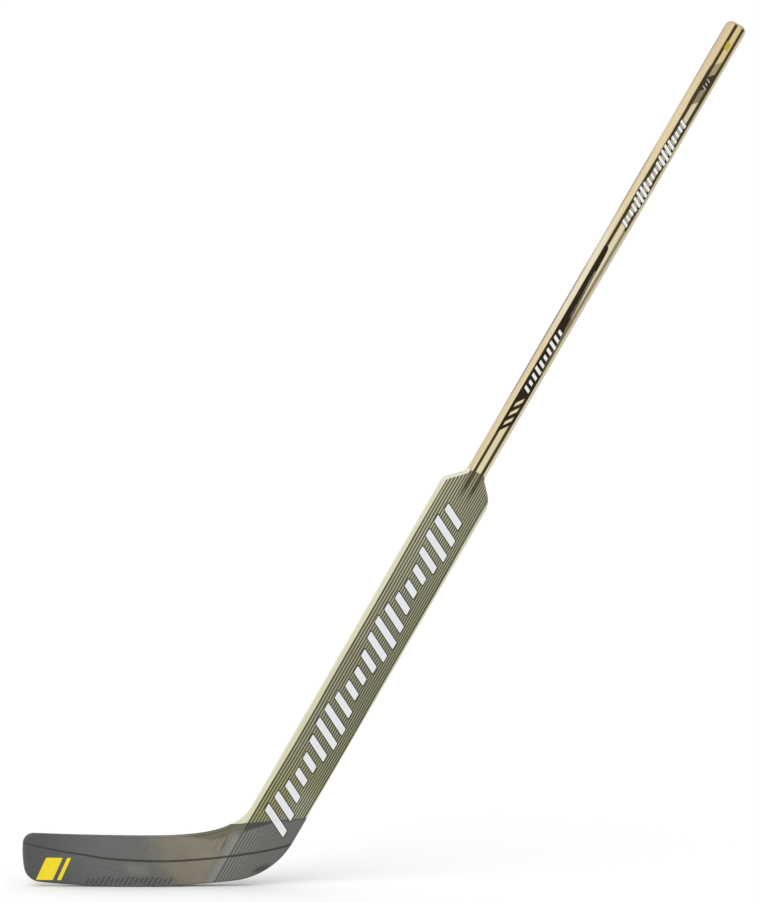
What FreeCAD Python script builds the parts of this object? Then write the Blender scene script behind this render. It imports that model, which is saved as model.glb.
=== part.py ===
import FreeCAD, Part
import math
import os

os.makedirs("parts", exist_ok=True)
V = FreeCAD.Vector

# ---------------------------------------------------------------- dimensions
# All lengths in millimetres, angles in degrees.

# Lie: the angle between the shaft and the ice when the middle of the sole
# touches it.
LIE = 60.6

# Stations along the stick's centre line, measured up the shaft from the
# throat datum at the lower end of the paddle.
DATUM_X, DATUM_Z = 219.85, 145.6   # throat datum in the drawing frame
S_BUTT = 1333.5                    # cut end of the shaft
S_GRIP = 600.0                     # where the stick hand closes round the shaft
S_SHOULDER = 561.5                 # inner shoulder line meets the centre line here
S_SHOULDER_OUT = 562.5             # outer shoulder line meets it here
S_TAPER = 560.0                    # the shaft widens from here to the butt

# Shaft section
SHAFT_W_LOW = 27.6                 # across the face, at the paddle
SHAFT_W_TOP = 30.2                 # across the face, at the butt
SHAFT_R = 4.0                      # long edges
BUTT_R = 10.0                      # rounded corners of the cut end
PLY_CENTRE = 8.0                   # centre board
PLY_INNER = 3.0                    # one each side of the centre board
PLY_OUTER = 3.0                    # next out
PLY_SHEET = 0.5                    # glass face sheet
SHAFT_T = PLY_CENTRE + 2 * (PLY_INNER + PLY_OUTER + PLY_SHEET)

# Paddle section
PADDLE_HW = 40.6                   # half width, outer edge and shoulders
PADDLE_HW_THROAT = 38.6            # half width of the inner edge at the datum
SHOULDER_R = 12.0                  # rounded corner of the inner shoulder
SHOULDER_R_OUT = 36.0              # rounded corner of the outer shoulder
SKIN_T = 0.8                       # printed glass skin
PADDLE_T = SHAFT_T + 2 * SKIN_T    # over both skins
EDGE_R = 3.75                      # rounded long edges of paddle and blade
SKIN_HW = 38.6                     # half width of the paddle skin, onto the rounding
S_SKIN_TOP = 553.0                 # blunt top of the skin on the shaft face

# Heel, sole and toe of the blade
HEEL_R = 115.0                     # heel radius
ROCKER_R = 1500.0                  # sole rocker
ROCKER_X = -25.0                   # lowest point of the sole
WRAP_EDGE = 0.8                    # wrap thickness over the edges
WRAP_FACE = 0.6                    # wrap thickness over the faces
SOLE_Z = WRAP_EDGE                 # blade body sits this far above the ice
TOE_R, TOE_CX, TOE_CZ = 150.0, -38.4, 58.0   # slightly bowed toe
TOE_LOW_R = 24.0                   # lower toe corner
TOE_TOP_R = 15.0                   # upper toe corner

# Upper edge of the blade and the throat curve, drawing frame, throat first
TOP_POINTS = [(153.4, 109.2), (129.0, 91.4), (97.4, 81.3), (60.2, 76.8),
              (5.0, 75.5), (-60.0, 76.4), (-120.0, 77.7), (-171.0, 79.2)]
S_THROAT = -41.0                   # throat curve leaves the inner edge here

# Blade curve and taper, seen from above
BLADE_FLAT_X = 85.0                # flat and full thickness right of here
BLADE_TOE_X = -190.0
BLADE_TOE_HALF = 6.2               # half thickness at the toe
CURVE_X = 60.0                     # the curve starts here
CURVE_R = 1953.0                   # toe swings back about this radius

# Joint between the paddle and the blade board, inside the wrap
JOINT_W = 44.0                     # joint line, parallel to the shaft
JOINT_TOP_S = -93.0                # there it turns out to the throat
JOINT_TURN = 23.4                  # and falls at this angle, under the wrap's edge
TONGUE_T = 8.0                     # blade tongue in the inner rail's groove
TONGUE_DEPTH = 18.0
TONGUE_S0, TONGUE_S1 = -168.0, -112.0

# Upper edge of the wrap: a slanted line across the heel, lower at the back
WRAP_X0, WRAP_Z0, WRAP_SLOPE = 134.3, 95.4, 0.0715
WRAP_TILT = 8.0

# ------------------------------------------------------------------- frames
CA, SA = math.cos(math.radians(LIE)), math.sin(math.radians(LIE))


def axis_point(s, w, y=0.0):
    """Point at station s up the centre line and w to its inner side."""
    return V(DATUM_X + s * CA - w * SA, y, DATUM_Z + s * SA + w * CA)


AXIS = V(CA, 0, SA)
INNER = V(-SA, 0, CA)
GRIP = axis_point(S_GRIP, 0.0)      # becomes the origin


def line(p, q):
    return Part.LineSegment(p, q).toShape()


def prism_sw(points, y0, y1):
    """Straight-sided prism from (s, w) corners, from depth y0 to y1."""
    corners = [axis_point(s, w, y0) for s, w in points]
    face = Part.Face(Part.makePolygon(corners + corners[:1]))
    return face.extrude(V(0, y1 - y0, 0))


def slab(y0, y1):
    return Part.makeBox(1600, y1 - y0, 1800, V(-400, y0, -200))


def one(shape):
    """The single solid of a boolean result."""
    if len(shape.Solids) != 1:
        raise ValueError("expected one solid, got %d" % len(shape.Solids))
    return shape.Solids[0]


# ------------------------------------------------- outline of paddle + blade
def body_outline(off):
    """Closed wire of paddle and blade, seen from the front, grown by off."""
    hw = PADDLE_HW + off
    hs = SHAFT_W_LOW / 2.0

    # sole, heel and toe circles: (centre x, centre z, radius)
    rocker = (ROCKER_X, SOLE_Z + ROCKER_R, ROCKER_R + off)
    toe = (TOE_CX, TOE_CZ, TOE_R + off)
    heel_r, low_r, top_r = HEEL_R + off, TOE_LOW_R + off, TOE_TOP_R + off

    # heel circle touches the outer edge line and the rocker from inside
    dx = axis_point(0, -hw + heel_r).x - rocker[0]
    dz = axis_point(0, -hw + heel_r).z - rocker[1]
    b = dx * CA + dz * SA
    c = dx * dx + dz * dz - (rocker[2] - heel_r) ** 2
    s_heel = -b - math.sqrt(b * b - c)
    heel_c = axis_point(s_heel, -hw + heel_r)
    h1 = axis_point(s_heel, -hw)

    def away(c0, c1, r):
        """Point on circle c0 of radius r, on the far side of c1 from c0."""
        d = V(c1[0] - c0[0], 0, c1[1] - c0[1])
        d.normalize()
        return V(c0[0] + d.x * r, 0, c0[1] + d.z * r)

    h2 = away(rocker, (heel_c.x, heel_c.z), rocker[2])

    def inside_corner(r, sign):
        """Centre of a corner circle inside both the toe and rocker circles."""
        ra, rb = toe[2] - r, rocker[2] - r
        d = math.hypot(rocker[0] - toe[0], rocker[1] - toe[1])
        k = (ra * ra - rb * rb + d * d) / (2 * d)
        h = math.sqrt(ra * ra - k * k)
        ux, uz = (rocker[0] - toe[0]) / d, (rocker[1] - toe[1]) / d
        return (toe[0] + k * ux - sign * h * uz, toe[1] + k * uz + sign * h * ux)

    low_c = inside_corner(low_r, 1.0)
    t1 = away(rocker, low_c, rocker[2])
    t2 = away(toe, low_c, toe[2])

    # upper edge: throat curve and blade top as one smooth curve
    w_t = PADDLE_HW_THROAT + off + (PADDLE_HW - PADDLE_HW_THROAT) * S_THROAT / 520.0
    start = axis_point(S_THROAT, w_t)
    raw = [(start.x, start.z)]
    for i, (x, z) in enumerate(TOP_POINTS):
        x0, z0 = TOP_POINTS[max(i - 1, 0)]
        x1, z1 = TOP_POINTS[min(i + 1, len(TOP_POINTS) - 1)]
        if i == 0:
            x0, z0 = axis_point(S_THROAT, w_t - off).x, axis_point(S_THROAT, w_t - off).z
        n = math.hypot(x1 - x0, z1 - z0)
        tx, tz = (x1 - x0) / n, (z1 - z0) / n
        raw.append((x + tz * off, z - tx * off))
    top = [V(x, 0, z) for x, z in raw]
    end = top[-1]
    tan_end = V(TOP_POINTS[-1][0] - TOP_POINTS[-2][0], 0, TOP_POINTS[-1][1] - TOP_POINTS[-2][1])
    tan_end.normalize()
    slope = (PADDLE_HW - PADDLE_HW_THROAT) / 520.0
    edge_dir = AXIS + INNER * slope
    edge_dir.normalize()
    curve = Part.BSplineCurve()
    curve.interpolate(Points=top, InitialTangent=edge_dir * -1.0, FinalTangent=tan_end, Scale=False)

    # upper toe corner: touches the end tangent of the top curve and the toe
    nrm = V(-tan_end.z, 0, tan_end.x)      # points down, into the blade
    if nrm.z > 0:
        nrm = nrm * -1.0
    base = end + nrm * top_r
    dx, dz = base.x - toe[0], base.z - toe[1]
    b = dx * tan_end.x + dz * tan_end.z
    c = dx * dx + dz * dz - (toe[2] - top_r) ** 2
    k = -b + math.sqrt(b * b - c)
    top_c = base + tan_end * k
    t4 = end + tan_end * k
    t3 = away(toe, (top_c.x, top_c.z), toe[2])

    def arc(p, q, cx, cz, r):
        a0 = math.atan2(p.z - cz, p.x - cx)
        a1 = math.atan2(q.z - cz, q.x - cx)
        d = (a1 - a0 + math.pi) % (2 * math.pi) - math.pi
        m = V(cx + r * math.cos(a0 + d / 2), 0, cz + r * math.sin(a0 + d / 2))
        return Part.Arc(p, m, q).toShape()

    # shoulders: 45 degree lines with rounded corners. The inner one runs out
    # on the shaft in a hollow curve, the outer one meets it at an angle.
    s_in = S_SHOULDER + off * math.sqrt(2.0)
    s_out = S_SHOULDER_OUT + off * math.sqrt(2.0)

    def corner(side, s45, r):
        """Ends and centre of the arc from a 45 degree line to the long edge."""
        t = r * math.tan(math.radians(22.5))
        s_c = s45 - hw
        p = axis_point(s_c + t / math.sqrt(2.0), side * (hw - t / math.sqrt(2.0)))
        q = axis_point(s_c - t, side * hw)
        return p, q, axis_point(s_c - t, side * (hw - r))

    a1 = axis_point(s_out - hs - 0.8, -hs - 0.8)
    a3, a4, ac = corner(-1, s_out, SHOULDER_R_OUT)
    b0 = axis_point(s_in - 9.0, hs)
    b1 = axis_point(s_in - 9.0, hs + 1.1)
    bm = axis_point(s_in - 14.6, hs + 2.1)
    b2 = axis_point(s_in - 18.0, 18.0)
    b3, b4, bc = corner(1, s_in, SHOULDER_R)

    edges = [
        line(b0, a1), line(a1, a3),
        arc(a3, a4, ac.x, ac.z, SHOULDER_R_OUT), line(a4, h1),
        arc(h1, h2, heel_c.x, heel_c.z, heel_r),
        arc(h2, t1, rocker[0], rocker[1], rocker[2]),
        arc(t1, t2, low_c[0], low_c[1], low_r),
        arc(t2, t3, toe[0], toe[1], toe[2]),
        arc(t3, t4, top_c.x, top_c.z, top_r),
        line(t4, end), curve.toShape(),
        line(start, b4),
        arc(b4, b3, bc.x, bc.z, SHOULDER_R), line(b3, b2),
        Part.Arc(b2, bm, b1).toShape(), line(b1, b0),
    ]
    return Part.Wire([e for group in Part.sortEdges(edges) for e in group])


def half_thickness(x):
    t = max(0.0, (BLADE_FLAT_X - x) / (BLADE_FLAT_X - BLADE_TOE_X))
    f = 1.15 * t * t / (t + 0.15)
    return PADDLE_T / 2.0 - (PADDLE_T / 2.0 - BLADE_TOE_HALF) * f


def mid_depth(x):
    return (CURVE_X - x) ** 2 / (2.0 * CURVE_R) if x < CURVE_X else 0.0


def plan_body(off_front, off_back):
    """Everything between the front and back faces, seen from above."""
    xs = [BLADE_FLAT_X, 50.0, 0.0, -50.0, -100.0, -150.0, -215.0]
    edges = []
    ends = []
    for side, off in ((-1, off_front), (1, off_back)):
        pts = [V(x, mid_depth(x) + side * (half_thickness(x) + off), -60) for x in xs]
        d = V(xs[-1] - xs[-2], pts[-1].y - pts[-2].y, 0)
        d.normalize()
        curve = Part.BSplineCurve()
        curve.interpolate(Points=pts, InitialTangent=V(-1, 0, 0), FinalTangent=d, Scale=False)
        far = V(1000, pts[0].y, -60)
        edges += [curve.toShape(), line(pts[0], far)]
        ends.append((pts[-1], far))
    edges += [line(ends[0][0], ends[1][0]), line(ends[0][1], ends[1][1])]
    wire = Part.Wire([e for group in Part.sortEdges(edges) for e in group])
    return Part.Face(wire).extrude(V(0, 0, 1500))


def rounded_body(off_edge, off_face, radius):
    """Paddle and blade as one form with rounded edges."""
    front = Part.Face(body_outline(off_edge))
    front.translate(V(0, -60, 0))
    blank = one(front.extrude(V(0, 120, 0)).common(plan_body(off_face, off_face)))
    # edges between the side walls and the front or back face, away from the
    # blunt tips on the shaft
    tip_s = S_SHOULDER - 17.0
    pick = []
    for e in blank.Edges:
        pts = e.discretize(5)
        if max(p.y for p in pts) - min(p.y for p in pts) > 0.9 * e.Length:
            continue
        m = pts[2]
        s = (m.x - DATUM_X) * CA + (m.z - DATUM_Z) * SA
        if s > tip_s:
            continue
        # a seam on the flat of a face lies inside the outline: leave it out
        if abs(pts[0].x - pts[-1].x) < 1e-6 and abs(pts[0].x - BLADE_FLAT_X) < 1e-3:
            continue
        pick.append(e)
    return one(blank.makeFillet(radius, pick))


# -------------------------------------------------------------------- shaft
def shaft_form():
    """Full shaft: square stem in the paddle, rounded bar above it."""
    lo, hi = SHAFT_W_LOW / 2.0, SHAFT_W_TOP / 2.0
    s0 = S_SHOULDER - SHAFT_W_LOW / 2.0 - 1.0
    # plan: straight sides, rounded corners at the butt
    d = (hi - lo) / (S_BUTT - S_TAPER)
    arc_mid = BUTT_R * (1.0 - math.sqrt(0.5))
    w_r = hi - d * BUTT_R

    def at(s, w):
        return axis_point(s, w, -SHAFT_T / 2.0)

    edges = [
        line(at(s0, lo), at(s0, -lo)), line(at(s0, -lo), at(S_TAPER, -lo)),
        line(at(S_TAPER, -lo), at(S_BUTT - BUTT_R, -w_r)),
        Part.Arc(at(S_BUTT - BUTT_R, -w_r), at(S_BUTT - arc_mid, -(w_r - arc_mid)),
                 at(S_BUTT, -(w_r - BUTT_R))).toShape(),
        line(at(S_BUTT, -(w_r - BUTT_R)), at(S_BUTT, w_r - BUTT_R)),
        Part.Arc(at(S_BUTT, w_r - BUTT_R), at(S_BUTT - arc_mid, w_r - arc_mid),
                 at(S_BUTT - BUTT_R, w_r)).toShape(),
        line(at(S_BUTT - BUTT_R, w_r), at(S_TAPER, lo)), line(at(S_TAPER, lo), at(s0, lo)),
    ]
    bar = Part.Face(Part.Wire(edges)).extrude(V(0, SHAFT_T, 0))
    rim = []
    for e in bar.Edges:
        pts = e.discretize(3)
        ss = [(p.x - DATUM_X) * CA + (p.z - DATUM_Z) * SA for p in pts]
        if abs(pts[0].y - pts[-1].y) < 1e-6 and max(ss) > s0 + 1e-3:
            rim.append(e)
    bar = one(bar.makeFillet(SHAFT_R, rim))
    return bar, s0


# -------------------------------------------------------------------- build
body = rounded_body(0.0, 0.0, EDGE_R)
bar, s_stem = shaft_form()
hs = SHAFT_W_LOW / 2.0
ht = SHAFT_T / 2.0
hp = PADDLE_T / 2.0
LOW = -400.0

# stem: the part of the shaft inside the paddle, down to the sole
stem = one(body.common(prism_sw([(LOW, -hs), (s_stem, -hs), (s_stem, hs), (LOW, hs)], -ht, ht)))
shaft = one(stem.fuse(bar).removeSplitter())

pieces = {}


def ply(name, y0, y1):
    pieces[name] = one(shaft.common(slab(y0, y1)))


c1 = PLY_CENTRE / 2.0
c2 = c1 + PLY_INNER
c3 = c2 + PLY_OUTER
ply("shaft_centre_ply", -c1, c1)
ply("shaft_inner_ply_front", -c2, -c1)
ply("shaft_inner_ply_back", c1, c2)
ply("shaft_outer_ply_front", -c3, -c2)
ply("shaft_outer_ply_back", c2, c3)
ply("shaft_face_sheet_front", -ht, -c3)
ply("shaft_face_sheet_back", c3, ht)

# paddle skins: flat sheets from the sole to a blunt point on the shaft
# and out to the edges of the shoulders
reach = 0.3
skin_shape = [(LOW, -SKIN_HW), (S_SHOULDER_OUT + reach - SKIN_HW, -SKIN_HW),
              (S_SKIN_TOP, S_SKIN_TOP - S_SHOULDER_OUT - reach), (S_SKIN_TOP, S_SHOULDER + reach - S_SKIN_TOP),
              (S_SHOULDER + reach - SKIN_HW, SKIN_HW), (LOW, SKIN_HW)]
body_sheet = body.fuse(prism_sw([(400, -hs), (S_SKIN_TOP, -hs), (S_SKIN_TOP, hs), (400, hs)], -hp, hp))
skins = {}
for name, y0, y1 in (("paddle_skin_front", -hp, -ht), ("paddle_skin_back", ht, hp)):
    skins[name] = one(body_sheet.common(prism_sw(skin_shape, y0, y1)))
    pieces[name] = skins[name]

# rails: the pale cores either side of the stem
rail_tools = [skins["paddle_skin_front"], skins["paddle_skin_back"]]
outer_zone = prism_sw([(LOW, -hs), (800, -hs), (800, -120), (LOW, -120)], -hp, hp)
turn_w = 120.0
turn_s = JOINT_TOP_S - (turn_w - JOINT_W) * math.tan(math.radians(JOINT_TURN))
inner_zone = prism_sw([(LOW, hs), (800, hs), (800, turn_w), (turn_s, turn_w), (JOINT_TOP_S, JOINT_W), (LOW, JOINT_W)], -hp, hp)
rail_outer = body.common(outer_zone)
rail_inner = body.common(inner_zone)
for t in rail_tools:
    rail_outer = rail_outer.cut(t)
    rail_inner = rail_inner.cut(t)

# blade board with a tongue that sits in a groove of the inner rail
blade_zone = prism_sw([(LOW, JOINT_W), (JOINT_TOP_S, JOINT_W), (turn_s, turn_w), (turn_s, 600), (LOW, 600)], -60, 60)
blade = one(body.common(blade_zone))
core_plan = plan_body(-SKIN_T, -SKIN_T)
blade_core = one(blade.common(core_plan))
tongue = prism_sw([(TONGUE_S0, JOINT_W + 1.0), (TONGUE_S1, JOINT_W + 1.0),
                   (TONGUE_S1, JOINT_W - TONGUE_DEPTH), (TONGUE_S0, JOINT_W - TONGUE_DEPTH)],
                  -TONGUE_T / 2.0, TONGUE_T / 2.0)
blade_core = one(blade_core.fuse(tongue).removeSplitter())
rail_inner = one(rail_inner.cut(tongue))
rail_outer = one(rail_outer)
pieces["paddle_rail_inner"] = rail_inner
pieces["paddle_rail_outer"] = rail_outer
pieces["blade_core"] = blade_core

# blade skins: what is left of the blade outside the board, front and back
shell = blade.cut(core_plan)
for s in shell.Solids:
    front_side = s.CenterOfMass.y < mid_depth(s.CenterOfMass.x)
    pieces["blade_skin_front" if front_side else "blade_skin_back"] = s

# wrap: a sleeve of glass cloth over the blade and the heel
outer_form = rounded_body(WRAP_EDGE, WRAP_FACE, EDGE_R + 0.7)


def z_at(x):
    return WRAP_Z0 + WRAP_SLOPE * (x - WRAP_X0)


# left of the throat the limit rises so that the whole blade is covered
fall = math.tan(math.radians(WRAP_TILT))
lift = (60.0 - hp) * fall
corners = [V(-400, -60, -100), V(700, -60, -100), V(700, -60, z_at(700) + lift),
           V(WRAP_X0 - 30, -60, z_at(WRAP_X0 - 30) + lift), V(WRAP_X0 - 60, -60, 130), V(-400, -60, 130)]
below = Part.Face(Part.makePolygon(corners + corners[:1])).extrude(V(0, 120, -120 * fall))
wrap = outer_form.common(below).cut(body)
pieces["blade_wrap"] = one(wrap)

# ------------------------------------------------------------------- export
for name in sorted(pieces):
    solid = pieces[name].copy()
    solid.translate(V(-GRIP.x, 0, -GRIP.z))
    solid.exportStep("parts/%s.step" % name)
    bb = solid.BoundBox
    print("%-24s valid %s  volume %8.1f cm3  x %.1f..%.1f y %.2f..%.2f z %.1f..%.1f" % (
        name, solid.isValid(), solid.Volume / 1000.0, bb.XMin, bb.XMax, bb.YMin, bb.YMax, bb.ZMin, bb.ZMax))
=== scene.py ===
import math

import bpy
from mathutils import Matrix, Vector

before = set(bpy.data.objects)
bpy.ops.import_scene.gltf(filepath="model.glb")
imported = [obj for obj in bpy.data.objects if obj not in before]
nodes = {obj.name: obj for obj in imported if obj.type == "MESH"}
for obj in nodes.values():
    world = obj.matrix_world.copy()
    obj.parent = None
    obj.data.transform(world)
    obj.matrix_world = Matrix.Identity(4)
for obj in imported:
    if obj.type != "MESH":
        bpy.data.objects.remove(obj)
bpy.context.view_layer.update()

# The stick's own directions. s runs up the shaft from the grip, w to the inner
# side of the stick, both in millimetres. The drawing frame has its origin on
# the ice below the blade.
LIE = math.radians(60.6)
CA, SA = math.cos(LIE), math.sin(LIE)
DRAW_X, DRAW_Z = 514.392, 668.328
FLOOR = -DRAW_Z / 1000.0


# ------------------------------------------------------------------ node maths
def srgb(r, g, b):
    """Linear colour from 0-255 screen values."""
    def lin(v):
        v /= 255.0
        return v / 12.92 if v <= 0.04045 else ((v + 0.055) / 1.055) ** 2.4
    return (lin(r), lin(g), lin(b), 1.0)


class Num:
    """A number that varies over a surface."""

    def __init__(self, g, socket):
        self.g, self.socket = g, socket

    def __add__(self, o):
        return self.g.math("ADD", self, o)

    def __radd__(self, o):
        return self.g.math("ADD", o, self)

    def __sub__(self, o):
        return self.g.math("SUBTRACT", self, o)

    def __rsub__(self, o):
        return self.g.math("SUBTRACT", o, self)

    def __mul__(self, o):
        return self.g.math("MULTIPLY", self, o)

    def __rmul__(self, o):
        return self.g.math("MULTIPLY", o, self)

    def __truediv__(self, o):
        return self.g.math("DIVIDE", self, o)

    def __rtruediv__(self, o):
        return self.g.math("DIVIDE", o, self)

    def __neg__(self):
        return self.g.math("MULTIPLY", self, -1.0)


class Graph:
    """One material and the nodes in it."""

    def __init__(self, name):
        self.mat = bpy.data.materials.new(name)
        self.mat.use_nodes = True
        self.tree = self.mat.node_tree
        self.tree.nodes.clear()
        self.out = self.tree.nodes.new("ShaderNodeOutputMaterial")
        self.bsdf = self.tree.nodes.new("ShaderNodeBsdfPrincipled")
        self.tree.links.new(self.bsdf.outputs[0], self.out.inputs["Surface"])
        tc = self.tree.nodes.new("ShaderNodeTexCoord")
        sep = self.tree.nodes.new("ShaderNodeSeparateXYZ")
        self.tree.links.new(tc.outputs["Object"], sep.inputs[0])
        self.x = Num(self, sep.outputs[0]) * 1000.0
        self.y = Num(self, sep.outputs[1]) * 1000.0
        self.z = Num(self, sep.outputs[2]) * 1000.0
        self._s = self._w = self._n = None

    # --- places
    @property
    def s(self):
        if self._s is None:
            self._s = self.x * CA + self.z * SA
        return self._s

    @property
    def w(self):
        if self._w is None:
            self._w = self.z * CA - self.x * SA
        return self._w

    def normal(self):
        if self._n is None:
            geo = self.tree.nodes.new("ShaderNodeNewGeometry")
            sep = self.tree.nodes.new("ShaderNodeSeparateXYZ")
            self.tree.links.new(geo.outputs["Normal"], sep.inputs[0])
            self._n = [Num(self, o) for o in sep.outputs]
        return self._n

    # --- sums
    def put(self, socket, value):
        if isinstance(value, Num):
            self.tree.links.new(value.socket, socket)
        elif hasattr(value, "is_output"):
            self.tree.links.new(value, socket)
        else:
            socket.default_value = value

    def math(self, op, a, b=None, c=None, clamp=False):
        n = self.tree.nodes.new("ShaderNodeMath")
        n.operation, n.use_clamp = op, clamp
        for i, v in enumerate((a, b, c)):
            if v is not None:
                self.put(n.inputs[i], v)
        return Num(self, n.outputs[0])

    def abs(self, a):
        return self.math("ABSOLUTE", a)

    def min(self, a, b):
        return self.math("MINIMUM", a, b)

    def max(self, a, b):
        return self.math("MAXIMUM", a, b)

    def sin(self, a):
        return self.math("SINE", a)

    def frac(self, a):
        return self.math("FRACT", a)

    def power(self, a, b):
        return self.math("POWER", a, b)

    def less(self, a, b):
        return self.math("LESS_THAN", a, b)

    def more(self, a, b):
        return self.math("GREATER_THAN", a, b)

    def clamp(self, a):
        return self.math("ADD", a, 0.0, clamp=True)

    def remap(self, v, a, b, lo=0.0, hi=1.0, smooth=True):
        """lo where v is a, hi where v is b, held outside."""
        n = self.tree.nodes.new("ShaderNodeMapRange")
        n.interpolation_type = "SMOOTHSTEP" if smooth else "LINEAR"
        n.clamp = True
        for i, x in enumerate((v, a, b, lo, hi)):
            self.put(n.inputs[i], x)
        return Num(self, n.outputs[0])

    def band(self, v, a, b, soft):
        """1 between a and b, fading to 0 over soft on each side."""
        return self.remap(v, a - soft, a + soft) * self.remap(v, b + soft, b - soft)

    def curve(self, v, points):
        """A smooth value along v through (v, value) points."""
        lo, hi = points[0][0], points[-1][0]
        t = self.remap(v, lo, hi, smooth=False)
        n = self.tree.nodes.new("ShaderNodeFloatCurve")
        vals = [p[1] for p in points]
        low, high = min(vals), max(vals)
        span = (high - low) or 1.0
        c = n.mapping.curves[0]
        while len(c.points) > 2:
            c.points.remove(c.points[1])
        c.points[0].location = (0.0, (vals[0] - low) / span)
        c.points[1].location = (1.0, (vals[-1] - low) / span)
        for a, b in points[1:-1]:
            c.points.new((a - lo) / (hi - lo), (b - low) / span)
        n.mapping.update()
        self.put(n.inputs[1], t)
        return Num(self, n.outputs[0]) * span + low

    # --- patterns
    def vec(self, a, b, c):
        n = self.tree.nodes.new("ShaderNodeCombineXYZ")
        for i, v in enumerate((a, b, c)):
            self.put(n.inputs[i], v)
        return n.outputs[0]

    def noise(self, vector, scale=1.0, detail=3.0, rough=0.55, distort=0.0):
        n = self.tree.nodes.new("ShaderNodeTexNoise")
        self.tree.links.new(vector, n.inputs["Vector"])
        n.inputs["Scale"].default_value = scale
        n.inputs["Detail"].default_value = detail
        n.inputs["Roughness"].default_value = rough
        n.inputs["Distortion"].default_value = distort
        return Num(self, n.outputs[0])

    def cells(self, vector, scale=1.0, feature="F1", random=1.0):
        n = self.tree.nodes.new("ShaderNodeTexVoronoi")
        n.feature = feature
        self.tree.links.new(vector, n.inputs["Vector"])
        n.inputs["Scale"].default_value = scale
        n.inputs["Randomness"].default_value = random
        return Num(self, n.outputs["Distance"])

    def weave(self, a, b, pitch):
        """Plain-weave relief, -1 to 1, for threads along a and b."""
        k = math.pi / pitch
        return self.sin(a * k) * self.sin(b * k)

    def bars(self, p, q, first, pitch, count, half, reach, swing, period, corner):
        """Distance in millimetres to a row of bars, under 0 inside them. They
        stand across q at even steps of p, and their length swells and shrinks
        along the row."""
        k = self.math("FLOOR", (p - first) / pitch + 0.5)
        k = self.min(self.max(k, 0.0), count - 1.0)
        mid = k * pitch + first
        size = reach + self.math("COSINE", mid * (2.0 * math.pi / period)) * swing
        a = self.max(self.abs(p - mid) - (half - corner), 0.0)
        b = self.max(self.abs(q) - (size - corner), 0.0)
        return self.math("SQRT", a * a + b * b) - corner

    def block(self, p, q, p0, p1, q0, q1, corner):
        """Distance in millimetres to one block, under 0 inside it."""
        a = self.max(self.abs(p - (p0 + p1) / 2.0) - ((p1 - p0) / 2.0 - corner), 0.0)
        b = self.max(self.abs(q - (q0 + q1) / 2.0) - ((q1 - q0) / 2.0 - corner), 0.0)
        return self.math("SQRT", a * a + b * b) - corner

    def inside(self, d, grow=0.0, soft=0.15):
        """1 where a distance is under grow."""
        return self.remap(d, grow + soft, grow - soft)

    # --- colours
    def mix(self, fac, a, b, mode="MIX"):
        n = self.tree.nodes.new("ShaderNodeMix")
        n.data_type = "RGBA"
        n.blend_type = mode
        n.clamp_factor = True
        self.put(n.inputs[0], fac)
        self.put(n.inputs[6], a)
        self.put(n.inputs[7], b)
        return n.outputs[2]

    def shade(self, colour, value):
        """colour times a grey value."""
        n = self.tree.nodes.new("ShaderNodeVectorMath")
        n.operation = "SCALE"
        self.tree.links.new(colour, n.inputs[0])
        self.put(n.inputs["Scale"], value)
        return n.outputs[0]

    def colours(self, v, stops):
        """Colour along v through (v, colour) stops."""
        lo, hi = stops[0][0], stops[-1][0]
        t = self.remap(v, lo, hi, smooth=False)
        n = self.tree.nodes.new("ShaderNodeValToRGB")
        ramp = n.color_ramp
        ramp.interpolation = "EASE"
        ramp.elements[0].position, ramp.elements[0].color = 0.0, stops[0][1]
        ramp.elements[1].position, ramp.elements[1].color = 1.0, stops[-1][1]
        for a, c in stops[1:-1]:
            e = ramp.elements.new((a - lo) / (hi - lo))
            e.color = c
        self.put(n.inputs[0], t)
        return n.outputs[0]

    # --- finish
    def finish(self, colour, rough, height=None, coat=0.0, coat_rough=0.1, specular=0.5):
        """height in millimetres."""
        b = self.bsdf
        self.tree.links.new(colour, b.inputs["Base Color"])
        self.put(b.inputs["Roughness"], rough)
        b.inputs["Coat Weight"].default_value = coat
        b.inputs["Coat Roughness"].default_value = coat_rough
        b.inputs["Specular IOR Level"].default_value = specular
        if height is not None:
            n = self.tree.nodes.new("ShaderNodeBump")
            n.inputs["Strength"].default_value = 1.0
            n.inputs["Distance"].default_value = 0.001
            self.put(n.inputs["Height"], height)
            self.tree.links.new(n.outputs[0], b.inputs["Normal"])
        return self.mat


# --------------------------------------------------------------- shared pieces
STRIPE_FIRST, STRIPE_SPAN = 35.5, 70.5
STRIPE_P0, STRIPE_P1 = 4.6, 3.3
# the printed sheet was laid a little askew: (s, shift to the inner side)
STRIPE_DRIFT = [(-790.0, -2.2), (-665.0, -0.7), (-530.0, -1.8), (-400.0, -0.35), (-300.0, 0.0),
                (-200.0, 1.1), (-140.0, 2.1), (-40.0, 2.8)]


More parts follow.
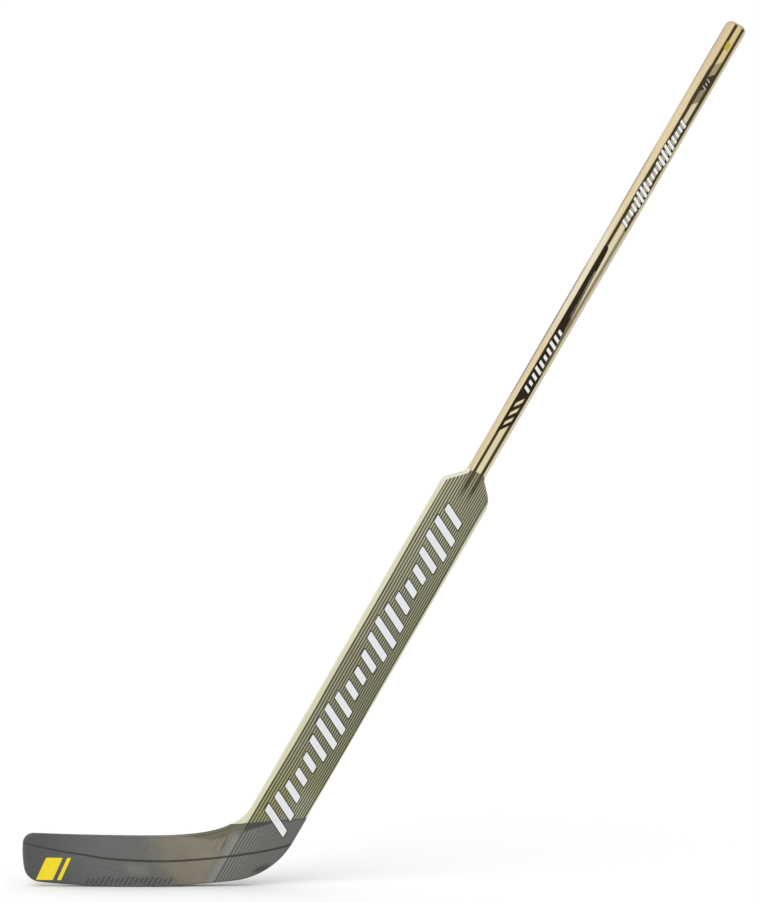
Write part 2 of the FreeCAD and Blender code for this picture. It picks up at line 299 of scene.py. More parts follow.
def pinstripes(g, wander):
    """Dark lines along the paddle, closer together towards the outer edge:
    1 on a line, and 1 inside the printed width."""
    u = STRIPE_FIRST + g.curve(g.s, STRIPE_DRIFT) + wander - g.w
    slope = (STRIPE_P0 - STRIPE_P1) / STRIPE_SPAN
    left = STRIPE_P0 - u * slope
    phase = g.math("LOGARITHM", STRIPE_P0 / left, math.e) * (1.0 / slope)
    f = g.abs(g.frac(phase + 0.5) - 0.5)
    half = g.remap(u, 0.0, STRIPE_SPAN, 0.22, 0.25, smooth=False)
    line = g.remap(f, half + 0.05, half - 0.05)
    # the border lines are a little wider, and the outer border slants
    last = g.remap(g.s, -320.0, -90.0, STRIPE_SPAN + 1.7, STRIPE_SPAN + 2.9, smooth=False)
    line = g.max(line, g.remap(u, -0.4, -0.7))
    line = g.max(line, g.remap(u - last, -1.6, -1.3))
    printed = g.remap(u, -1.85, -1.35) * g.remap(u - last, 0.25, -0.25)
    return line * printed, printed


def fibres(g, seed):
    """Three sizes of wood figure along the stick, each about 0 to 1."""
    broad = g.noise(g.vec(g.s / 210.0 + seed, g.w / 4.2, g.y / 4.2), detail=4.0, distort=0.4)
    fine = g.noise(g.vec(g.s / 24.0, g.w / 0.42, g.y / 0.42 + seed), detail=3.0, rough=0.6)
    flecks = g.noise(g.vec(g.s / 5.0 + seed, g.w / 0.17, g.y / 0.17), detail=1.0)
    return broad, fine, flecks


# -------------------------------------------------------------------- wood ply
def ply_wood(name, light, dark, seed, lo, hi):
    """A ply between depths lo and hi of the shaft."""
    g = Graph(name)
    broad, fine, flecks = fibres(g, seed)
    rings = g.sin((g.w * 0.8 + g.y * 0.6 + broad * 9.0) * (2.0 * math.pi / 2.6))
    tone = g.clamp(broad * 0.75 + fine * 0.45 + rings * 0.10 - 0.15)
    c = g.mix(tone, dark, light)
    # bleached along the middle of the shaft, a little darker near its ends
    c = g.mix(g.band(g.s, 205.0, 385.0, 45.0) * 0.75, c, g.mix(tone, srgb(210, 197, 171), srgb(232, 223, 202)))
    c = g.shade(c, g.curve(g.s, [(-60.0, 0.90), (30.0, 0.95), (130.0, 1.0), (560.0, 1.0), (700.0, 0.90)]))
    pores = g.remap(flecks, 0.62, 0.72)
    c = g.mix(pores * 0.30, c, srgb(150, 120, 82))
    # cut end: closer rings, darker because the pores drink the lacquer
    n = g.normal()
    end = g.remap(n[0] * CA + n[2] * SA, 0.55, 0.9)
    r = g.math("SQRT", g.power(g.w + 31.0 + seed, 2.0) + g.power(g.y + 22.0, 2.0))
    ringed = g.sin((r + g.noise(g.vec(g.w / 3.0, g.y / 3.0, seed), detail=2.0) * 1.2) * (2.0 * math.pi / 1.7))
    specks = g.noise(g.vec(g.w / 0.25, g.y / 0.25, seed), detail=2.0)
    cut = g.mix(g.clamp(ringed * 0.25 + specks * 0.6), srgb(150, 120, 82), srgb(206, 180, 134))
    c = g.mix(end, c, cut)
    # glue lines where the plies meet
    d = g.min(g.abs(g.abs(g.y) - lo), g.abs(g.abs(g.y) - hi))
    glue = g.remap(d, 0.20, 0.05)
    c = g.mix(glue * 0.45, c, srgb(132, 104, 68))
    # handling marks
    smudge = g.noise(g.vec(g.s / 60.0, g.w / 14.0, g.y / 14.0 + seed), detail=3.0)
    c = g.mix(g.remap(smudge, 0.56, 0.78) * 0.14, c, srgb(150, 136, 114))
    # painted shade along the far edge of the inner side, where the back rounding turns
    # from the light, streaked like rubbed-in grime; and painted shade on the outer edge
    edge_streaks = g.noise(g.vec(g.s / 55.0, g.w / 5.0, g.y / 2.2), detail=4.0, rough=0.6)
    far_edge_shade = g.remap(g.y + (edge_streaks - 0.5) * 7.0, -4.5, 5.0) * g.remap(g.w, 9.0, 12.0)
    far_edge_shade = far_edge_shade * g.curve(g.s, [(-60.0, 0.08), (40.0, 0.20), (140.0, 1.1), (290.0, 0.95), (335.0, 0.50), (385.0, 0.45), (425.0, 0.85),
                                  (480.0, 0.80), (535.0, 0.20), (570.0, 0.20), (615.0, 0.40), (665.0, 0.70), (720.0, 0.45)])
    c = g.mix(far_edge_shade * (edge_streaks * 0.5 + 0.62), c, g.mix(tone, srgb(84, 76, 64), srgb(122, 113, 98)))
    # painted shade on the outer rounded edge, which faces away from the light; paler and greyer low on the shaft
    outer_edge_shade = g.mix(g.remap(g.s, 130.0, 40.0), srgb(172, 162, 138), srgb(220, 215, 200))
    outer_edge_shade = g.mix(g.remap(g.w, -11.6, -13.4) * 0.85, outer_edge_shade, srgb(222, 212, 190))
    c = g.mix(g.remap(g.w, -8.5, -11.0) * (smudge * 0.3 + 0.45), c, outer_edge_shade)
    rough = g.remap(smudge + fine * 0.3, 0.4, 0.9, 0.34, 0.52)
    height = fine * 0.012 - pores * 0.02 - glue * 0.02 + end * specks * 0.05
    return g.finish(c, rough, height, coat=0.1, coat_rough=0.25, specular=0.3)


# ------------------------------------------------------- printed shaft faces
LINE_IN, LINE_OUT = 4.25, 8.85
BAR_SLANT = 0.48


def line_centre(g):
    """The printed lines drift a little across the face towards the butt."""
    return g.remap(g.s, 100.0, 620.0, 0.4, -1.35, smooth=False)


def shaft_face(name, seed):
    g = Graph(name)
    s, w = g.s, g.w
    broad, fine, flecks = fibres(g, seed)
    # flat-sawn face grain under the clear sheet
    arch = g.sin((w + broad * 16.0) * (2.0 * math.pi / 5.2))
    tone = g.clamp(broad * 0.65 + fine * 0.35 + arch * 0.10)
    wood = g.mix(tone, srgb(198, 179, 137), srgb(226, 211, 172))
    bleach = g.band(s, 205.0, 385.0, 45.0)
    wood = g.mix(bleach * 0.8, wood, g.mix(tone, srgb(209, 197, 169), srgb(232, 222, 199)))
    wood = g.shade(wood, g.curve(s, [(-60.0, 1.0), (280.0, 1.0), (325.0, 0.92), (385.0, 0.92), (430.0, 1.0), (720.0, 1.0)]))
    wood = g.mix(g.remap(s, 630.0, 675.0) * 0.45, wood, g.mix(tone, srgb(192, 166, 112), srgb(220, 196, 146)))
    wood = g.mix(g.remap(flecks, 0.62, 0.74) * 0.20, wood, srgb(166, 136, 94))
    ww = w - line_centre(g) + (g.noise(g.vec(s / 9.0, w / 1.2, seed), detail=2.0) - 0.5) * 0.35
    aw = g.abs(ww)
    # the margin on the outer side carries painted shade, darker and greyer as on a side turned from the light;
    # paler low on the shaft
    outer_margin_shade = g.mix(tone, srgb(176, 166, 140), srgb(198, 190, 166))
    outer_margin_shade = g.mix(g.remap(s, 130.0, 40.0) * 0.7, outer_margin_shade, srgb(208, 202, 186))
    wood = g.mix(g.remap(ww, -7.5, -9.5) * 0.75, wood, outer_margin_shade)
    # the strip between the lines is washed a little paler and greener
    washed = g.mix(tone, srgb(196, 186, 148), srgb(222, 213, 179))
    washed = g.mix(g.remap(s, 380.0, 560.0) * 0.6, washed, g.mix(tone, srgb(182, 174, 145), srgb(204, 196, 168)))
    washed = g.mix(g.remap(s, 645.0, 675.0) * 0.85, washed, g.mix(tone, srgb(190, 168, 116), srgb(212, 193, 142)))
    c = g.mix(g.remap(aw, LINE_IN + 0.5, LINE_IN - 0.5) * 0.9, wood, washed)
    # resin from the paddle's joint has soaked up into the foot of the shaft
    soak = g.remap(s + (broad - 0.5) * 18.0, -22.0, -44.0)
    c = g.mix(soak * 0.35, c, srgb(214, 212, 160))

    # the inner line is a little uneven in width
    low_edge = g.curve(s, [(-60.0, 0.0), (250.0, 0.0), (364.0, -0.08), (580.0, -0.6), (677.0, -0.45), (720.0, -0.75)]) + LINE_IN
    high_edge = g.curve(s, [(-60.0, 0.0), (200.0, 0.0), (300.0, 0.42), (364.0, 0.63), (440.0, 0.7), (500.0, 0.3), (575.0, 0.0),
                            (602.0, 0.85), (645.0, 0.85), (664.0, -0.25), (720.0, -0.3)]) + LINE_OUT
    band = g.remap(ww - low_edge, -0.75, 0.75) * g.remap(ww - high_edge, 0.75, -0.75)
    near_edge = LINE_IN - g.remap(s, 60.0, 15.0, 0.0, 0.35) - g.remap(s, 530.0, 565.0, 0.0, 0.65) + g.remap(s, 640.0, 670.0, 0.0, 0.7)
    band = g.max(band, g.remap(-ww - near_edge, -0.75, 0.75) * g.remap(-ww, LINE_OUT + 0.75, LINE_OUT - 0.75))
    # the outer line fades to brown along the dark field and the taper above it
    outer = g.less(ww, 0.0) * g.remap(s, 128.0, 134.0) * g.remap(s - ww * 0.6, 383.5, 378.5)
    fade = g.remap(s, 132.0, 238.0, smooth=False)
    brown = g.max(band, g.band(s, 205.0, 225.0, 6.0) * g.band(ww, -8.85, -3.0, 0.5)) * outer
    lines = band * (1.0 - outer)
    # slanted slashes that lead into the dark field
    p = s + ww * 1.42
    slash = g.abs(g.frac((p - 43.3) / 16.0 + 0.5) - 0.5) * 16.0
    pale_slash = g.remap(slash, 4.0, 3.2) * g.less(p, 82.0) * g.remap(aw, LINE_IN + 0.5, LINE_IN - 0.1)
    field = g.remap(aw, LINE_OUT + 0.45, LINE_OUT - 0.45) * g.remap(p, 31.0, 32.0) * g.less(s, 201.0) * (1.0 - pale_slash)
    field = field * g.max(g.less(s, 131.0), g.remap(ww, -5.2, -4.6))
    # the field runs on up the inner line as a long taper with a stepped end
    edge = g.curve(s, [(200.0, -4.9), (217.0, -3.7), (234.0, -3.4), (256.0, -2.35), (281.0, -1.5), (297.0, -0.95),
                       (306.0, -0.45), (316.0, 0.0), (336.0, 0.9), (346.0, 4.6)])
    taper = g.more(s, 200.0) * g.remap(s, 346.5, 345.5) * g.remap(ww - edge, -0.5, 0.5) * g.remap(ww - high_edge, 0.45, -0.45)
    ink = g.max(field, taper)
    # its outer part is peppered with pale specks
    pepper = g.remap(g.noise(g.vec(s / 1.3, w / 0.6, seed + 1.0), detail=2.0), 0.50, 0.60)
    specked = g.curve(s, [(222.0, -2.5), (230.0, 0.4), (256.0, 0.8), (281.0, 1.95), (297.0, 2.4), (304.0, 2.4)])
    strip = g.band(s, 225.0, 304.0, 1.5) * taper * g.remap(ww - specked, 0.9, -0.9)
    # plain bars: light ones in the field, outlined ones higher up
    q = s - ww * BAR_SLANT
    low = g.bars(q, ww, 99.0, 10.9, 10.0, 2.7, 4.9, 1.3, 44.0, 0.7)
    high = g.bars(q, ww + 0.4, 389.0, 9.1, 20.0, 2.5, 6.4, 2.3, 73.0, 0.7)
    light = g.max(g.inside(low), g.inside(high))
    ink = g.max(ink, g.inside(high, 1.1))

    # a translucent olive patch near the top, darker in its middle
    lean = s + ww * 1.05
    patch = g.band(lean, 597.5, 667.0, 0.5) * g.less(aw, LINE_IN + 0.3)
    c = g.mix(patch * g.remap(s, 610.0, 655.0, 0.78, 0.58), c, g.mix(g.remap(s, 632.0, 646.0), srgb(98, 92, 70), srgb(98, 90, 52)))
    dark_mid = g.band(lean, 621.5, 646.0, 0.7) * g.less(aw, LINE_IN + 0.3)
    ticks = g.inside(g.bars(q, ww, 625.0, 6.0, 3.0, 1.2, 2.8, 0.7, 12.0, 0.4))
    ink = g.max(ink, dark_mid * 0.9)
    light = g.max(light, ticks * 0.42)

    # ink: a little uneven, rubbed through in specks along its edges
    worn = g.noise(g.vec(s / 2.2, w / 0.8, seed + 3.0), detail=4.0, rough=0.7)
    rub = g.remap(worn, 0.70, 0.78)
    dense = g.mix(fine, srgb(24, 17, 0), srgb(40, 32, 7))
    c = g.mix(lines * (0.985 - rub * 0.35), c, g.mix(fine, srgb(44, 31, 0), srgb(66, 51, 10)))
    c = g.mix(ink * (1.0 - rub * 0.45), c, dense)
    c = g.mix(strip * g.remap(s, 262.0, 278.0, 0.11, 0.20) + strip * pepper * g.remap(s, 262.0, 278.0, 0.44, 0.60), c, srgb(176, 170, 148))
    faint = g.mix(fine, srgb(102, 88, 60), srgb(128, 113, 84))
    c = g.mix(brown * (0.97 - fade * 0.07 - rub * 0.3), c, g.mix(fade, dense, faint))
    white = g.mix(worn, srgb(212, 212, 212), srgb(236, 236, 238))
    c = g.mix(light * (1.0 - rub * 0.35), c, white)
    gold = g.inside(g.block(q, ww, 689.5, 702.0, -2.2, 5.2, 0.8))
    c = g.mix(gold * 0.95, c, g.mix(worn, srgb(160, 143, 34), srgb(190, 173, 62)))

    # scuffs along the long edges and faint handling marks
    smudge = g.noise(g.vec(s / 50.0, w / 9.0, seed), detail=3.0)
    c = g.mix(g.remap(smudge, 0.58, 0.8) * 0.12, c, srgb(150, 140, 120))
    scratch = g.remap(g.noise(g.vec(s / 16.0 + w / 3.0, w / 0.35, seed + 7.0), detail=1.0), 0.74, 0.78)
    c = g.mix(scratch * ink * 0.25, c, srgb(160, 150, 130))
    cloth = g.weave(s, w, 0.9)
    rough = g.remap(smudge + scratch * 0.3, 0.35, 0.85, 0.34, 0.50)
    height = cloth * 0.006 + fine * 0.006 - scratch * 0.02 + g.max(g.max(ink, lines), light) * 0.01
    return g.finish(c, rough, height, specular=0.14)


# ------------------------------------------------------------- printed skins
def paddle_marks(g):
    """White slanted bars and their dark outline."""
    p = g.s - g.w * BAR_SLANT
    d = g.bars(p, g.w, -652.0, 25.2, 22.0, 5.9, 17.0, 6.0, 163.0, 1.6)
    return g.inside(d), g.inside(d, 1.7)


def paddle_print(name, seed):
    g = Graph(name)
    s, w = g.s, g.w
    blur = g.noise(g.vec(s / 30.0, w / 8.0, seed), detail=3.0)
    fine = g.noise(g.vec(s / 3.0, w / 0.6, seed), detail=3.0)
    wander = (g.noise(g.vec(s / 120.0, w / 60.0, seed), detail=1.0) - 0.5) * 0.4
    stripe, printed = pinstripes(g, wander)
    across = g.remap(w, 36.0, -36.0, smooth=False)
    gap = g.mix(across, srgb(166, 163, 135), srgb(145, 145, 117))
    gap = g.mix(g.remap(blur, 0.35, 0.75) * 0.30, gap, srgb(148, 140, 116))
    # more resin, so more yellow, towards the heel
    gap = g.mix(g.remap(s + (blur - 0.5) * 60.0, -500.0, -640.0) * 0.7, gap, srgb(156, 154, 98))
    gap = g.mix(g.remap(s, -565.0, -610.0) * g.remap(w, 4.0, -14.0) * 0.75, gap, srgb(172, 172, 153))
    gap = g.shade(gap, g.curve(s, [(-790.0, 0.90), (-600.0, 0.86), (-500.0, 0.85), (-410.0, 0.81), (-340.0, 0.88), (-260.0, 0.91),
                                   (-190.0, 1.0), (-40.0, 1.03)]))
    line = g.mix(fine, srgb(44, 43, 30), srgb(66, 64, 47))
    c = g.mix(stripe * 0.95, gap, line)
    # the shaft's dark lines show through the tip of the skin
    aw = g.abs(w - line_centre(g))
    depth = s + (blur - 0.5) * 16.0
    under = g.band(aw, LINE_IN - 0.6, LINE_OUT + 0.8, 1.2) * g.remap(depth, -102.0, -70.0)
    c = g.mix(under * 0.88, c, srgb(38, 30, 14))
    glow = g.remap(g.abs(w), 19.0, 10.0) * g.remap(depth, -92.0, -54.0)
    c = g.mix(glow * 0.30, c, srgb(92, 82, 54))
    # clear margin beside the print, over the pale rail
    margin = g.mix(blur, srgb(182, 181, 150), srgb(198, 198, 169))
    margin = g.mix(g.remap(s, -380.0, -250.0) * 0.5, margin, srgb(204, 204, 174))
    c = g.mix(printed, margin, c)
    white, rim = paddle_marks(g)
    worn = g.noise(g.vec(s / 3.0, w / 1.2, seed + 5.0), detail=4.0, rough=0.7)
    rub = g.remap(worn, 0.72, 0.80)
    c = g.mix(rim * 0.9, c, srgb(44, 44, 38))
    pale = g.mix(worn, srgb(210, 211, 213), srgb(224, 225, 228))
    c = g.mix(white * (1.0 - rub * 0.25), c, pale)
    smudge = g.noise(g.vec(s / 70.0, w / 22.0, seed), detail=4.0)
    c = g.mix(g.remap(smudge, 0.55, 0.82) * 0.12, c, srgb(112, 110, 96))
    scratch = g.remap(g.noise(g.vec(s / 22.0 - w / 5.0, w / 0.5 + s / 60.0, seed), detail=1.0), 0.75, 0.79)
    c = g.mix(scratch * 0.20, c, srgb(190, 188, 170))
    cloth = g.weave(s + w, s - w, 1.5)
    rough = g.remap(smudge + fine * 0.2, 0.35, 0.9, 0.36, 0.50)
    height = cloth * 0.012 + stripe * 0.012 + white * 0.012 - scratch * 0.02
    return g.finish(c, rough, height, specular=0.22)


# -------------------------------------------------------------- sealed foam
def sealed_foam(name, seed, light, dark):
    g = Graph(name)
    v = g.vec(g.x, g.y, g.z)
    broad = g.noise(v, scale=1.0 / 38.0, detail=4.0)
    mid = g.noise(v, scale=1.0 / 6.0, detail=3.0)
    pits = g.cells(v, scale=1.0 / 1.3)
    pore = g.remap(pits, 0.30, 0.12)
    tone = g.clamp(broad * 0.7 + mid * 0.5 - 0.1)
    c = g.mix(tone, dark, light)
    c = g.mix(pore * 0.22, c, srgb(176, 172, 120))
    runs = g.noise(g.vec(g.s / 80.0, g.w / 5.0, g.y / 5.0 + seed), detail=3.0)
    c = g.mix(g.remap(runs, 0.58, 0.76) * 0.22, c, srgb(206, 198, 140))
    # a band of thicker resin along the paddle; whiter towards the back, painted light on the side face that meets
    # the light; whiter resin on the shoulders and higher up the outer edge
    c = g.mix(g.band(g.s, -580.0, -410.0, 40.0) * (0.35 + mid * 0.3), c, srgb(188, 184, 148))
    white = g.max(g.remap(g.y, -8.0, 9.5) * 0.6, g.remap(g.s, -100.0, -70.0) * 0.7)
    white = g.max(white, g.remap(g.w, -37.0, -40.0) * g.remap(g.s, -440.0, -240.0, 0.15, 0.75))
    c = g.mix(white, c, g.mix(mid, srgb(214, 214, 196), srgb(230, 230, 216)))
    dirt = g.noise(g.vec(g.s / 40.0, g.w / 18.0, g.y / 9.0 + seed), detail=5.0, rough=0.65)
    c = g.mix(g.remap(dirt, 0.60, 0.80) * 0.18, c, srgb(150, 146, 116))
    rough = g.remap(runs + mid * 0.3, 0.4, 0.95, 0.36, 0.55)
    height = mid * 0.06 - pore * 0.05 + runs * 0.05
    return g.finish(c, rough, height, coat=0.1, coat_rough=0.3, specular=0.35)


# --------------------------------------------------------------- blade wrap
# A dark line runs from the toe to the heel: (x, z) in the drawing frame.
BLADE_LINE = [(-215.0, 71.6), (-189.0, 65.9), (-171.0, 61.6), (-135.0, 54.4), (-98.0, 48.7), (-62.0, 43.3),
              (-7.0, 39.9), (30.0, 39.5), (66.0, 41.2), (103.0, 43.9), (140.0, 48.2), (187.0, 55.4),
              (219.0, 63.5), (236.0, 69.0)]


def wrap_cloth(name, seed):
    g = Graph(name)
    s, w = g.s, g.w
    xd, zd = g.x + DRAW_X, g.z + DRAW_Z
    broad = g.noise(g.vec(xd / 46.0, zd / 30.0, seed), detail=4.0, rough=0.6)
    mid = g.noise(g.vec(xd / 9.0, zd / 7.0, seed), detail=4.0)
    fine = g.noise(g.vec(xd / 1.1, zd / 1.1, g.y / 1.1), detail=2.0)
    # tone from toe to heel: the brown board shows through in the middle, with
    # wandering borders
    uneven = (broad - 0.5) * 34.0 + (mid - 0.5) * 22.0
    base = g.colours(xd + uneven, [(-200.0, srgb(82, 82, 83)), (-60.0, srgb(101, 101, 100)), (60.0, srgb(106, 106, 101)),
                                   (150.0, srgb(109, 109, 103)), (230.0, srgb(102, 102, 98))])
    board = g.remap(xd + (zd - 40.0) * 0.5 + uneven, -2.0, 40.0) * g.remap(w + uneven * 0.2, 45.0, 56.0)
    c = g.mix(board, base, g.mix(broad, srgb(120, 113, 97), srgb(132, 127, 113)))
    c = g.shade(c, g.curve(xd, [(-230.0, 0.88), (-140.0, 0.84), (-90.0, 0.88), (-40.0, 0.92), (15.0, 0.89), (70.0, 0.95), (120.0, 1.0), (240.0, 1.0)]))
    c = g.shade(c, 1.0 - g.remap(zd, 32.0, 12.0) * g.remap(xd, 110.0, 40.0) * 0.09)
    # painted shade along the upper edge towards the throat
    below = g.curve(xd, [(40.0, 76.7), (60.0, 77.6), (73.0, 78.5), (86.0, 80.05), (98.0, 82.2), (109.0, 84.7), (122.0, 88.9), (134.0, 94.9)]) - zd
    reach = g.curve(xd, [(52.0, -4.0), (70.0, 3.0), (85.0, 7.0), (100.0, 11.0), (112.0, 11.0), (124.0, 9.0), (138.0, 4.0)]) + uneven * 0.12
    c = g.mix(g.remap(below - reach, 2.5, -2.5) * g.remap(w, 36.0, 40.0) * 0.6, c, srgb(88, 83, 64))
    c = g.shade(c, 0.84 + broad * 0.16 + mid * 0.16)
    # a slanted crease, painted as a dark line of shade, and a paler patch below the line
    crease = zd - 35.0 + (xd + 86.0) * 0.27 + (mid - 0.5) * 3.0
    c = g.mix(g.band(crease, -0.8, 0.8, 0.6) * g.band(xd, -84.0, -26.0, 8.0) * 0.40, c, srgb(70, 70, 68))
    c = g.mix(g.band(xd + zd * 0.5 + uneven * 0.3, -20.0, 12.0, 6.0) * g.band(zd, 18.0, 34.0, 4.0) * 0.22, c, srgb(140, 139, 130))
    # faint pulled fibres slant across the middle of the blade
    drift = g.noise(g.vec((xd + zd * 2.1) / 5.0, (zd - xd * 0.45) / 34.0, seed), detail=4.0, rough=0.7)
    c = g.mix(g.remap(drift, 0.58, 0.76) * g.band(xd, -95.0, 45.0, 35.0) * 0.22, c, srgb(138, 136, 126))
    c = g.mix(g.remap(drift, 0.42, 0.28) * g.band(xd, -95.0, 110.0, 35.0) * 0.22, c, srgb(72, 70, 64))
    # the throat, where the pale rail and the cloth's overlap meet, is darker: painted shade in the corner
    throat = g.remap(s + uneven * 0.25, -701.0, -690.0) * g.remap(w, 30.0, 36.0)
    c = g.mix(throat * 0.9, c, g.mix(mid, srgb(92, 90, 76), srgb(108, 105, 92)))
    # pale strip along the joint between the paddle and the blade
    stripe, printed = pinstripes(g, 0.0)
    strip = g.remap(w + (mid - 0.5) * 9.0 + (broad - 0.5) * 10.0, 52.0, 42.0) * g.remap(w, 35.4, 37.0)
    strip = strip * g.remap(s + (mid - 0.5) * 14.0, -694.0, -708.0)
    c = g.mix(strip * (0.52 + mid * 0.4), c, g.mix(broad, srgb(128, 126, 116), srgb(136, 137, 130)))
    smear = g.noise(g.vec((w - 50.0) / 3.2, s / 26.0, seed + 2.0), detail=4.0)
    c = g.mix(g.remap(smear, 0.50, 0.62) * g.band(w, 46.0, 62.0, 4.0) * g.band(zd, 50.0, 82.0, 8.0) * 0.55, c, srgb(70, 66, 56))
    # the pinstripes of the paddle show through, weaker to the outer side
    under = g.mix(g.remap(w, 34.0, -14.0), srgb(119, 119, 113), srgb(104, 104, 101))
    c = g.mix(printed * 0.92, c, g.shade(under, 0.88 + mid * 0.24))
    c = g.mix(stripe * g.remap(w, 34.0, -24.0, 0.68, 0.42), c, srgb(60, 60, 57))
    # doubled cloth along the upper edge over the heel, deep and ragged at its
    # inner end
    drop = 95.4 + (xd - 134.3) * 0.0715 - (g.y + 11.3) * 0.1405 - zd
    ragged = g.noise(g.vec(w / 1.6, s / 90.0, seed), detail=3.0)
    deep = g.curve(xd, [(138.0, 14.0), (155.0, 10.0), (167.0, 8.0), (180.0, 5.0), (196.0, 2.6), (236.0, 2.0)])
    deep = deep * (0.45 + ragged * 1.1)
    over = g.remap(drop, deep + 1.2, deep - 1.2) * printed
    c = g.mix(over * g.remap(xd, 190.0, 232.0, 0.78, 0.45), c, srgb(50, 50, 46))
    hem = g.remap(drop, 1.9, 0.9) * (1.0 - printed) * g.remap(xd, 92.0, 108.0)
    c = g.mix(hem * 0.45, c, srgb(58, 56, 48))
    # worn dark patch low on the heel
    patch = g.band(xd + (mid - 0.5) * 14.0, 163.0, 186.0, 6.0) * g.band(zd - (xd - 174.0) * 0.36 + (broad - 0.5) * 8.0, 23.5, 31.0, 2.5)
    c = g.mix(patch * g.remap(mid, 0.28, 0.52) * 0.8, c, srgb(50, 50, 47))
    # the dark line from toe to heel
    line_z = g.curve(xd, BLADE_LINE)
    thick = g.remap(xd, -190.0, -40.0, 1.25, 1.75, smooth=False)
    ridge = (g.noise(g.vec(xd / 6.0, 0.0, seed), detail=2.0) - 0.5) * 0.7
    line = g.remap(g.abs(zd - line_z + ridge), thick + 0.5, thick - 0.5)
    c = g.mix(line * g.remap(xd, -205.0, -40.0, 0.62, 0.86), c, srgb(46, 43, 36))
    # the white bars end on the heel; a plain block and slashes on the blade
    white, rim = paddle_marks(g)
    c = g.mix(rim * 0.8, c, srgb(46, 46, 44))
    c = g.mix(white, c, g.mix(mid, srgb(212, 213, 215), srgb(224, 225, 228)))
    q = xd - zd * 0.42
    gold = g.max(g.inside(g.block(q, zd, -174.0, -149.0, 10.0, 44.0, 1.5)),
                 g.inside(g.block(q, zd, -142.5, -136.5, 10.0, 44.0, 1.5)))
    c = g.mix(gold, c, g.mix(mid, srgb(222, 198, 26), srgb(238, 216, 46)))
    slash = g.inside(g.bars(xd - zd * 0.6, zd - 9.4, -98.0, 7.4, 18.0, 1.9, 5.2, 1.6, 37.0, 0.6))
    c = g.mix(slash * 0.62, c, srgb(52, 52, 50))
    # scuffs near the sole and small bright scratches
    scuff = g.noise(g.vec(xd / 5.0, zd / 1.4, g.y / 1.4), detail=4.0, rough=0.7)
    low = g.remap(zd, 8.0, 0.5)
    c = g.mix(g.remap(scuff, 0.52, 0.70) * low * 0.30, c, srgb(140, 138, 130))
    nick = g.remap(g.noise(g.vec((xd + zd * 0.8) / 18.0, (zd - xd * 0.3) / 0.5, seed), detail=1.0), 0.75, 0.79)
    c = g.mix(nick * 0.22, c, srgb(150, 148, 140))
    # painted shade on the upward-facing top of the blade, stronger and browner towards the heel
    top_face_shade = g.remap(g.normal()[2], 0.35, 0.85)
    c = g.mix(top_face_shade * g.remap(xd, 40.0, 90.0, 0.32, 0.62), c, g.mix(g.remap(xd, 30.0, 80.0), srgb(68, 68, 66), srgb(64, 60, 48)))
    c = g.shade(c, 0.95 + fine * 0.10)
    cloth = g.weave(xd + zd, xd - zd, 1.7)
    rough = g.remap(broad + mid * 0.4, 0.4, 1.0, 0.38, 0.54)
    height = cloth * 0.016 + mid * 0.03 - nick * 0.03 - line * 0.02 + over * 0.03
    return g.finish(c, rough, height, specular=0.25)


# ------------------------------------------------------ pieces under the wrap
def raw_foam(name):
    return sealed_foam(name, 9.0, srgb(222, 216, 178), srgb(200, 192, 150))


def glass_skin(name, seed):
    g = Graph(name)
    xd, zd = g.x + DRAW_X, g.z + DRAW_Z
    cloth = g.weave(xd, zd, 2.2)
    blot = g.noise(g.vec(xd / 30.0, zd / 20.0, seed), detail=4.0)
    c = g.mix(g.clamp(blot * 0.8 + cloth * 0.15), srgb(142, 132, 108), srgb(190, 182, 152))
    return g.finish(c, g.remap(blot, 0.3, 0.7, 0.3, 0.5), cloth * 0.03 + blot * 0.02, coat=0.1, specular=0.35)


# ------------------------------------------------------------------- assign
tan_light, tan_dark = srgb(220, 202, 164), srgb(192, 169, 129)
rail_light, rail_dark = srgb(205, 204, 173), srgb(190, 188, 153)
materials = {
    "shaft_centre_ply": ply_wood("aspen_core", srgb(224, 208, 173), srgb(200, 178, 139), 1.0, 99.0, 4.0),
    "shaft_inner_ply_front": ply_wood("birch_inner_front", tan_light, srgb(188, 164, 123), 2.3, 4.0, 7.0),
    "shaft_inner_ply_back": ply_wood("birch_inner_back", tan_light, srgb(188, 164, 123), 3.1, 4.0, 7.0),
    "shaft_outer_ply_front": ply_wood("birch_outer_front", srgb(224, 207, 170), tan_dark, 4.7, 7.0, 10.0),
    "shaft_outer_ply_back": ply_wood("birch_outer_back", srgb(220, 202, 166), tan_dark, 5.9, 7.0, 10.0),
    "shaft_face_sheet_front": shaft_face("face_sheet_front", 0.0),
    "shaft_face_sheet_back": shaft_face("face_sheet_back", 11.0),
    "paddle_rail_inner": sealed_foam("rail_foam_inner", 0.0, rail_light, rail_dark),
    "paddle_rail_outer": sealed_foam("rail_foam_outer", 4.0, rail_light, rail_dark),
    "paddle_skin_front": paddle_print("paddle_print_front", 0.0),
    "paddle_skin_back": paddle_print("paddle_print_back", 6.0),
    "blade_core": raw_foam("blade_foam"),
    "blade_skin_front": glass_skin("blade_glass_front", 0.0),
    "blade_skin_back": glass_skin("blade_glass_back", 3.0),
    "blade_wrap": wrap_cloth("wrap_cloth", 0.0),
}
for name, material in materials.items():
    mesh = nodes[name].data
    mesh.materials.clear()
    mesh.materials.append(material)

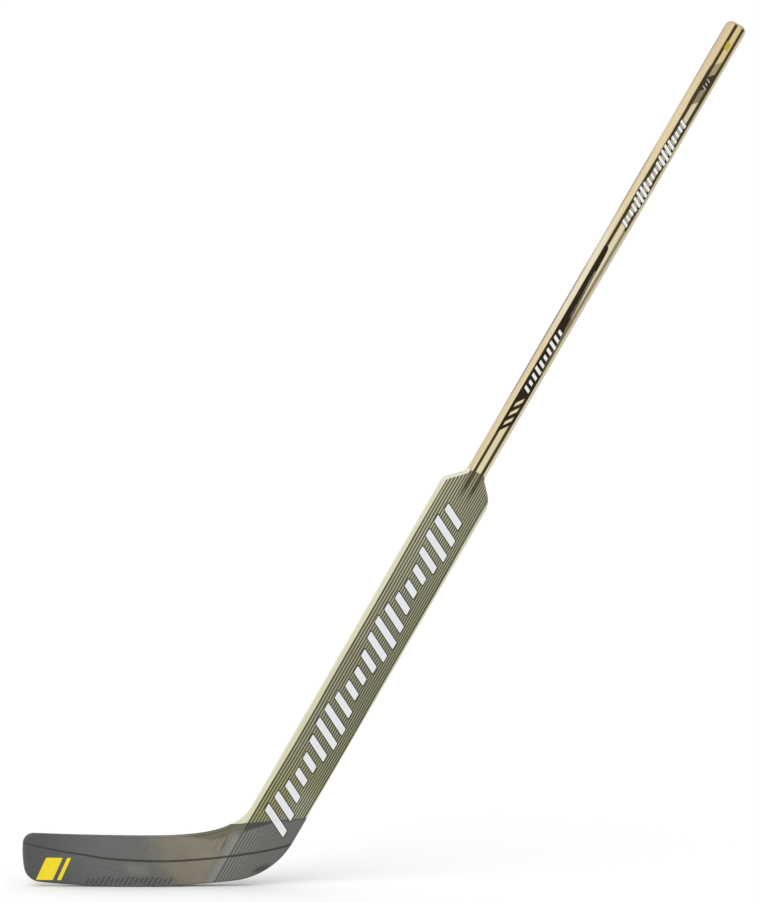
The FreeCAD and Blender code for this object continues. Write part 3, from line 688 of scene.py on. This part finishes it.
# --------------------------------------------------------------------- stage
def floor_sheet():
    """A wide, gently uneven pale sheet to stand on."""
    half, steps = 70.0, 28
    verts, faces = [], []
    for j in range(steps + 1):
        for i in range(steps + 1):
            verts.append((-half + 2 * half * i / steps, -half + 2 * half * j / steps, FLOOR))
    for j in range(steps):
        for i in range(steps):
            a = j * (steps + 1) + i
            faces.append((a, a + 1, a + steps + 2, a + steps + 1))
    mesh = bpy.data.meshes.new("floor")
    mesh.from_pydata(verts, [], faces)
    obj = bpy.data.objects.new("floor", mesh)
    bpy.context.scene.collection.objects.link(obj)
    g = Graph("floor_pale")
    grain = g.noise(g.vec(g.x / 900.0, g.y / 900.0, g.z), detail=2.0)
    c = g.mix(grain, srgb(252, 252, 252), srgb(254, 254, 254))
    mesh.materials.append(g.finish(c, 0.8, specular=0.1))
    return obj


floor_sheet()

world = bpy.data.worlds.new("studio")
world.use_nodes = True
sky = world.node_tree.nodes["Background"]
sky.inputs[0].default_value = (1.0, 1.0, 1.0, 1.0)
sky.inputs[1].default_value = 0.78
bpy.context.scene.world = world


def lamp(name, towards, strength, angle):
    """Broad soft light that shines from the direction towards."""
    data = bpy.data.lights.new(name, "SUN")
    data.energy, data.angle = strength, math.radians(angle)
    obj = bpy.data.objects.new(name, data)
    obj.rotation_mode = "QUATERNION"
    obj.rotation_quaternion = Vector(towards).to_track_quat("Z", "Y")
    obj.location = Vector(towards) * 5.0
    bpy.context.scene.collection.objects.link(obj)


lamp("key", (-0.60, -0.55, 0.60), 1.25, 50.0)
lamp("top", (-0.10, 0.25, 1.0), 0.12, 70.0)

# -------------------------------------------------------------------- camera
AZ, EL, ROLL = math.radians(-14.41), math.radians(8.30), math.radians(1.88)
PIXEL = 1.5051e-3          # metres for one pixel at the grip
GRIP_PX = (492.46, 445.11)
DISTANCE = 31.8
back = Vector((math.sin(AZ) * math.cos(EL), -math.cos(AZ) * math.cos(EL), math.sin(EL)))
level = (-back).cross(Vector((0, 0, 1))).normalized()
upright = level.cross(-back)
right = level * math.cos(ROLL) + upright * math.sin(ROLL)
up = upright * math.cos(ROLL) - level * math.sin(ROLL)
aim = right * ((380.0 - GRIP_PX[0]) * PIXEL) + up * ((GRIP_PX[1] - 451.0) * PIXEL)
place = aim + back * DISTANCE
data = bpy.data.cameras.new("camera")
data.sensor_fit, data.sensor_width = "AUTO", 36.0
data.lens = 36.0 * DISTANCE / (902 * PIXEL)
data.clip_start, data.clip_end = 1.0, 200.0
camera = bpy.data.objects.new("camera", data)
turn = Matrix((right, up, back)).transposed().to_4x4()
camera.matrix_world = Matrix.Translation(place) @ turn
bpy.context.scene.collection.objects.link(camera)
bpy.context.scene.camera = camera
bpy.context.scene.view_settings.view_transform = "Standard"

bpy.context.view_layer.update()
